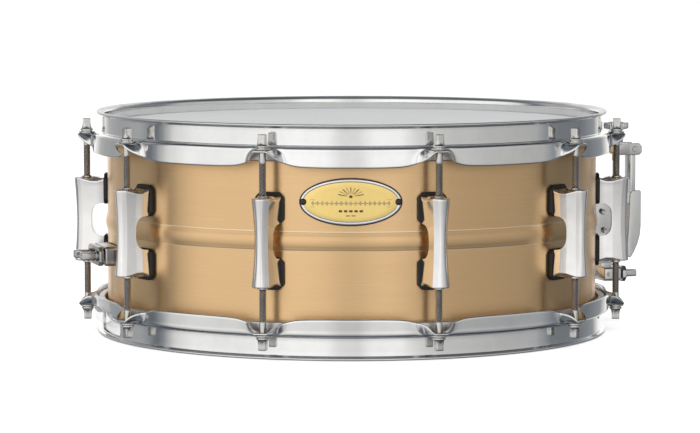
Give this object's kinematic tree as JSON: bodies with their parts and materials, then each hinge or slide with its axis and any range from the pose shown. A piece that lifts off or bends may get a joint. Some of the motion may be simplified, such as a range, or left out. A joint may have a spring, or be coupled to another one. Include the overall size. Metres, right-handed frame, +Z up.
{
  "type": "snare drum",
  "caption": "Snare drum with a brushed brass shell, centre bead, bridge lugs, triple-flanged hoops, tension rods, lever strainer, butt end and snare wires.",
  "frame": {"origin": "centre of the batter head's playing surface", "axes": "+Z up out of the batter head along the drum's axis, -Y towards the badge, +X to the right seen from the badge side"},
  "size_m": [0.4174, 0.3832, 0.1588],
  "materials": {
    "brushed_brass": "satin, fine brushing round the shell",
    "chrome": "polished",
    "plated_steel": "plated, threaded",
    "snare_wire": "drawn wire",
    "coated_film": "sprayed, slightly rough coating",
    "clear_film": "hazy clear film",
    "aluminium": "plain",
    "black_rubber": "moulded",
    "badge_gold": "satin gold field with a dark border",
    "dark_rivet": "dark plated",
    "strap_plastic": "translucent film strip"
  },
  "bodies": {
    "drum": {"shell": "brushed_brass", "batter_head": "coated_film", "snare_side_head": "clear_film", "batter_flesh_hoop": "aluminium", "snare_side_flesh_hoop": "aluminium", "batter_hoop": "chrome", "snare_side_hoop": "chrome", "lug_01": "chrome", "lug_02": "chrome", "lug_03": "chrome", "lug_04": "chrome", "lug_05": "chrome", "lug_06": "chrome", "lug_07": "chrome", "lug_08": "chrome", "lug_09": "chrome", "lug_10": "chrome", "badge": "badge_gold", "badge_rivet_left": "dark_rivet", "badge_rivet_right": "dark_rivet", "strainer_gasket": "black_rubber", "strainer_base": "chrome", "strainer_lever_pin": "plated_steel", "butt_gasket": "black_rubber", "butt_base": "chrome", "butt_clamp_plate": "chrome", "butt_strap": "strap_plastic"},
    "throw_off_lever": {"strainer_lever": "chrome"},
    "strainer_carriage": {"strainer_slider": "chrome", "strainer_clamp_plate": "chrome", "strainer_strap": "strap_plastic"},
    "snare_wire_set": {"snare_wires": "snare_wire"},
    "tension_knob": {"strainer_knob": "chrome"},
    "batter_tension_rod_01_body": {"batter_tension_rod_01": "plated_steel"},
    "snare_tension_rod_01_body": {"snare_tension_rod_01": "plated_steel"},
    "batter_tension_rod_02_body": {"batter_tension_rod_02": "plated_steel"},
    "snare_tension_rod_02_body": {"snare_tension_rod_02": "plated_steel"},
    "batter_tension_rod_03_body": {"batter_tension_rod_03": "plated_steel"},
    "snare_tension_rod_03_body": {"snare_tension_rod_03": "plated_steel"},
    "batter_tension_rod_04_body": {"batter_tension_rod_04": "plated_steel"},
    "snare_tension_rod_04_body": {"snare_tension_rod_04": "plated_steel"},
    "batter_tension_rod_05_body": {"batter_tension_rod_05": "plated_steel"},
    "snare_tension_rod_05_body": {"snare_tension_rod_05": "plated_steel"},
    "batter_tension_rod_06_body": {"batter_tension_rod_06": "plated_steel"},
    "snare_tension_rod_06_body": {"snare_tension_rod_06": "plated_steel"},
    "batter_tension_rod_07_body": {"batter_tension_rod_07": "plated_steel"},
    "snare_tension_rod_07_body": {"snare_tension_rod_07": "plated_steel"},
    "batter_tension_rod_08_body": {"batter_tension_rod_08": "plated_steel"},
    "snare_tension_rod_08_body": {"snare_tension_rod_08": "plated_steel"},
    "batter_tension_rod_09_body": {"batter_tension_rod_09": "plated_steel"},
    "snare_tension_rod_09_body": {"snare_tension_rod_09": "plated_steel"},
    "batter_tension_rod_10_body": {"batter_tension_rod_10": "plated_steel"},
    "snare_tension_rod_10_body": {"snare_tension_rod_10": "plated_steel"},
    "strainer_clamp_screw_1_body": {"strainer_clamp_screw_1": "plated_steel"},
    "butt_clamp_screw_1_body": {"butt_clamp_screw_1": "plated_steel"},
    "strainer_clamp_screw_2_body": {"strainer_clamp_screw_2": "plated_steel"},
    "butt_clamp_screw_2_body": {"butt_clamp_screw_2": "plated_steel"}
  },
  "joints": [
    {"name": "lever_throw", "type": "hinge", "parent": "drum", "child": "throw_off_lever", "pos_m": [0.20752, 0.06743, -0.0237], "axis": [0.309, -0.9511, 0], "range_deg": [0, 100]},
    {"name": "carriage_drop", "type": "slide", "parent": "drum", "child": "strainer_carriage", "axis": [0, 0, -1], "range_m": [0, 0.0041]},
    {"name": "wires_drop", "type": "hinge", "parent": "drum", "child": "snare_wire_set", "pos_m": [-0.15769, -0.05124, -0.1421], "axis": [-0.309, 0.9511, 0], "range_deg": [0, 0.7]},
    {"name": "knob_turn", "type": "hinge", "parent": "drum", "child": "tension_knob", "pos_m": [0.19658, 0.06387, -0.0105], "axis": [0, 0, 1], "continuous": true},
    {"name": "batter_rod_01_turn", "type": "hinge", "parent": "drum", "child": "batter_tension_rod_01_body", "pos_m": [0.05942, -0.18289, -0.0205], "axis": [0, 0, 1], "range_deg": [-720, 720]},
    {"name": "snare_rod_01_turn", "type": "hinge", "parent": "drum", "child": "snare_tension_rod_01_body", "pos_m": [0.05942, -0.18289, -0.1205], "axis": [0, 0, -1], "range_deg": [-720, 720]},
    {"name": "batter_rod_02_turn", "type": "hinge", "parent": "drum", "child": "batter_tension_rod_02_body", "pos_m": [0.15557, -0.11303, -0.0205], "axis": [0, 0, 1], "range_deg": [-720, 720]},
    {"name": "snare_rod_02_turn", "type": "hinge", "parent": "drum", "child": "snare_tension_rod_02_body", "pos_m": [0.15557, -0.11303, -0.1205], "axis": [0, 0, -1], "range_deg": [-720, 720]},
    {"name": "batter_rod_03_turn", "type": "hinge", "parent": "drum", "child": "batter_tension_rod_03_body", "pos_m": [0.1923, 0, -0.0205], "axis": [0, 0, 1], "range_deg": [-720, 720]},
    {"name": "snare_rod_03_turn", "type": "hinge", "parent": "drum", "child": "snare_tension_rod_03_body", "pos_m": [0.1923, 0, -0.1205], "axis": [0, 0, -1], "range_deg": [-720, 720]},
    {"name": "batter_rod_04_turn", "type": "hinge", "parent": "drum", "child": "batter_tension_rod_04_body", "pos_m": [0.15557, 0.11303, -0.0205], "axis": [0, 0, 1], "range_deg": [-720, 720]},
    {"name": "snare_rod_04_turn", "type": "hinge", "parent": "drum", "child": "snare_tension_rod_04_body", "pos_m": [0.15557, 0.11303, -0.1205], "axis": [0, 0, -1], "range_deg": [-720, 720]},
    {"name": "batter_rod_05_turn", "type": "hinge", "parent": "drum", "child": "batter_tension_rod_05_body", "pos_m": [0.05942, 0.18289, -0.0205], "axis": [0, 0, 1], "range_deg": [-720, 720]},
    {"name": "snare_rod_05_turn", "type": "hinge", "parent": "drum", "child": "snare_tension_rod_05_body", "pos_m": [0.05942, 0.18289, -0.1205], "axis": [0, 0, -1], "range_deg": [-720, 720]},
    {"name": "batter_rod_06_turn", "type": "hinge", "parent": "drum", "child": "batter_tension_rod_06_body", "pos_m": [-0.05942, 0.18289, -0.0205], "axis": [0, 0, 1], "range_deg": [-720, 720]},
    {"name": "snare_rod_06_turn", "type": "hinge", "parent": "drum", "child": "snare_tension_rod_06_body", "pos_m": [-0.05942, 0.18289, -0.1205], "axis": [0, 0, -1], "range_deg": [-720, 720]},
    {"name": "batter_rod_07_turn", "type": "hinge", "parent": "drum", "child": "batter_tension_rod_07_body", "pos_m": [-0.15557, 0.11303, -0.0205], "axis": [0, 0, 1], "range_deg": [-720, 720]},
    {"name": "snare_rod_07_turn", "type": "hinge", "parent": "drum", "child": "snare_tension_rod_07_body", "pos_m": [-0.15557, 0.11303, -0.1205], "axis": [0, 0, -1], "range_deg": [-720, 720]},
    {"name": "batter_rod_08_turn", "type": "hinge", "parent": "drum", "child": "batter_tension_rod_08_body", "pos_m": [-0.1923, 0, -0.0205], "axis": [0, 0, 1], "range_deg": [-720, 720]},
    {"name": "snare_rod_08_turn", "type": "hinge", "parent": "drum", "child": "snare_tension_rod_08_body", "pos_m": [-0.1923, 0, -0.1205], "axis": [0, 0, -1], "range_deg": [-720, 720]},
    {"name": "batter_rod_09_turn", "type": "hinge", "parent": "drum", "child": "batter_tension_rod_09_body", "pos_m": [-0.15557, -0.11303, -0.0205], "axis": [0, 0, 1], "range_deg": [-720, 720]},
    {"name": "snare_rod_09_turn", "type": "hinge", "parent": "drum", "child": "snare_tension_rod_09_body", "pos_m": [-0.15557, -0.11303, -0.1205], "axis": [0, 0, -1], "range_deg": [-720, 720]},
    {"name": "batter_rod_10_turn", "type": "hinge", "parent": "drum", "child": "batter_tension_rod_10_body", "pos_m": [-0.05942, -0.18289, -0.0205], "axis": [0, 0, 1], "range_deg": [-720, 720]},
    {"name": "snare_rod_10_turn", "type": "hinge", "parent": "drum", "child": "snare_tension_rod_10_body", "pos_m": [-0.05942, -0.18289, -0.1205], "axis": [0, 0, -1], "range_deg": [-720, 720]},
    {"name": "strainer_clamp_screw_1_turn", "type": "hinge", "parent": "strainer_carriage", "child": "strainer_clamp_screw_1_body", "pos_m": [0.20662, 0.05662, -0.1159], "axis": [0.9511, 0.309, 0], "range_deg": [-720, 720]},
    {"name": "butt_clamp_screw_1_turn", "type": "hinge", "parent": "drum", "child": "butt_clamp_screw_1_body", "pos_m": [-0.1914, -0.05167, -0.091], "axis": [-0.9511, -0.309, 0], "range_deg": [-720, 720]},
    {"name": "strainer_clamp_screw_2_turn", "type": "hinge", "parent": "strainer_carriage", "child": "strainer_clamp_screw_2_body", "pos_m": [0.20044, 0.07564, -0.1159], "axis": [0.9511, 0.309, 0], "range_deg": [-720, 720]},
    {"name": "butt_clamp_screw_2_turn", "type": "hinge", "parent": "drum", "child": "butt_clamp_screw_2_body", "pos_m": [-0.18522, -0.0707, -0.091], "axis": [-0.9511, -0.309, 0], "range_deg": [-720, 720]}
  ],
  "couplings": [
    {"joint": "carriage_drop", "follows": "lever_throw", "m_per_rad": 0.0022918},
    {"joint": "wires_drop", "follows": "lever_throw", "ratio": 0.0069156}
  ]
}
